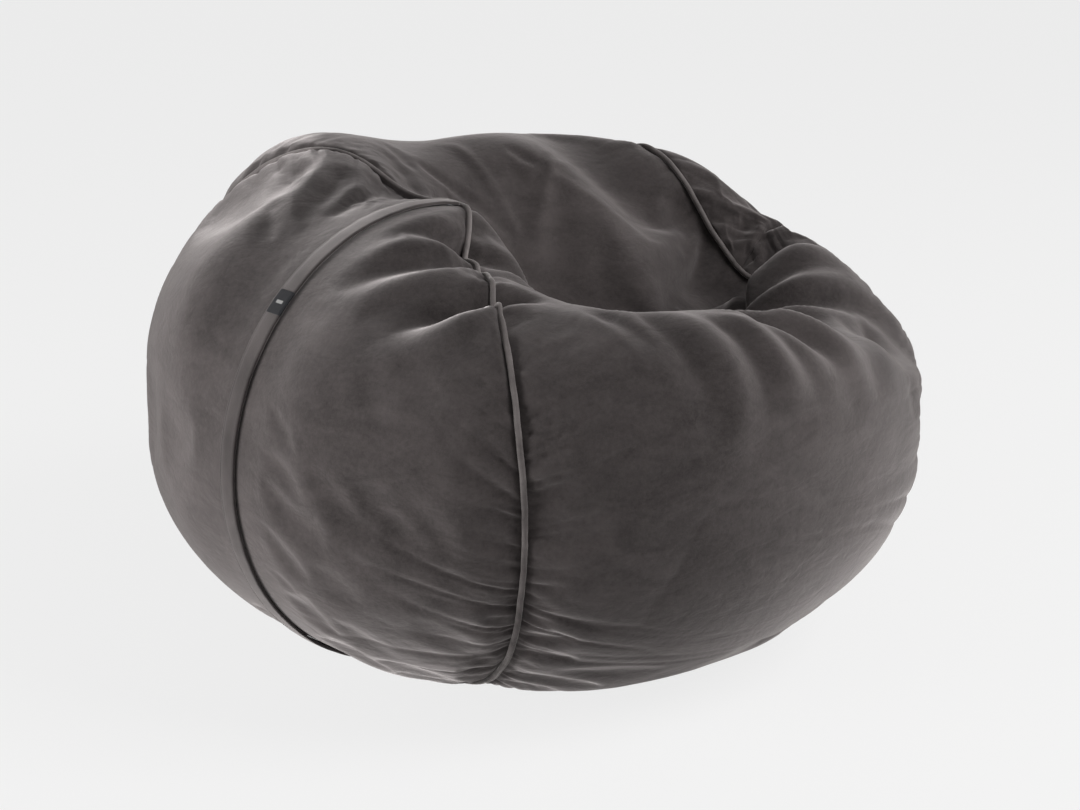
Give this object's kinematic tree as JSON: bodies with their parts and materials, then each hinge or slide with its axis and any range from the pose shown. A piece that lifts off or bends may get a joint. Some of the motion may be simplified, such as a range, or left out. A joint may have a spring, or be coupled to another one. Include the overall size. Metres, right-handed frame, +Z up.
{
  "type": "bean bag chair",
  "caption": "Round velvet bean bag chair with a sat-in hollow, piped ring seams, and a zip hidden under a flap down one side.",
  "frame": {"origin": "on the floor, under the middle of the bag's plan", "axes": "+Z up; the front that a sitter's legs hang over faces -Y; the zip side is -X"},
  "size_m": [1.1, 1.1, 0.6892],
  "materials": {
    "velvet": "dark warm grey short-pile velvet, soft sheen",
    "piping": "the same velvet cut as a bias sleeve over a cord",
    "cord": "twisted filler cord, unbleached",
    "tape": "woven zip tape",
    "coil": "nylon coil",
    "zip_metal": "plated zip slider and stops",
    "label": "woven satin label, near black",
    "liner": "plain woven liner cloth",
    "liner_tape": "woven zip tape",
    "beads": "loose white foam beads, taken as one solid"
  },
  "bodies": {
    "bag": {"band_front": "velvet", "band_back": "velvet", "zip_panel_front": "velvet", "zip_panel_back": "velvet", "far_panel_front": "velvet", "far_panel_back": "velvet", "zip_piping": "piping", "zip_piping_cord": "cord", "far_piping": "piping", "far_piping_cord": "cord", "zip_tape_front": "tape", "zip_tape_back": "tape", "zip_coil_front": "coil", "zip_coil_back": "coil", "zip_top_stop": "zip_metal", "zip_low_stop": "zip_metal", "zip_flap": "velvet", "label": "label", "liner_front": "liner", "liner_back": "liner", "liner_tape_front": "liner_tape", "liner_tape_back": "liner_tape", "liner_coil_front": "coil", "liner_coil_back": "coil", "liner_top_stop": "zip_metal", "liner_low_stop": "zip_metal", "bead_fill": "beads"},
    "zip_slider": {"zip_slider": "zip_metal"},
    "liner_slider": {"liner_slider": "zip_metal"}
  },
  "joints": [
    {"name": "zip_run", "type": "hinge", "parent": "bag", "child": "zip_slider", "pos_m": [-0.2237, 0, 0.332], "axis": [0, 1, 0], "range_deg": [0, 170.5]},
    {"name": "liner_zip_run", "type": "hinge", "parent": "bag", "child": "liner_slider", "pos_m": [-0.2237, 0, 0.332], "axis": [0, 1, 0], "range_deg": [0, 165.5]}
  ]
}
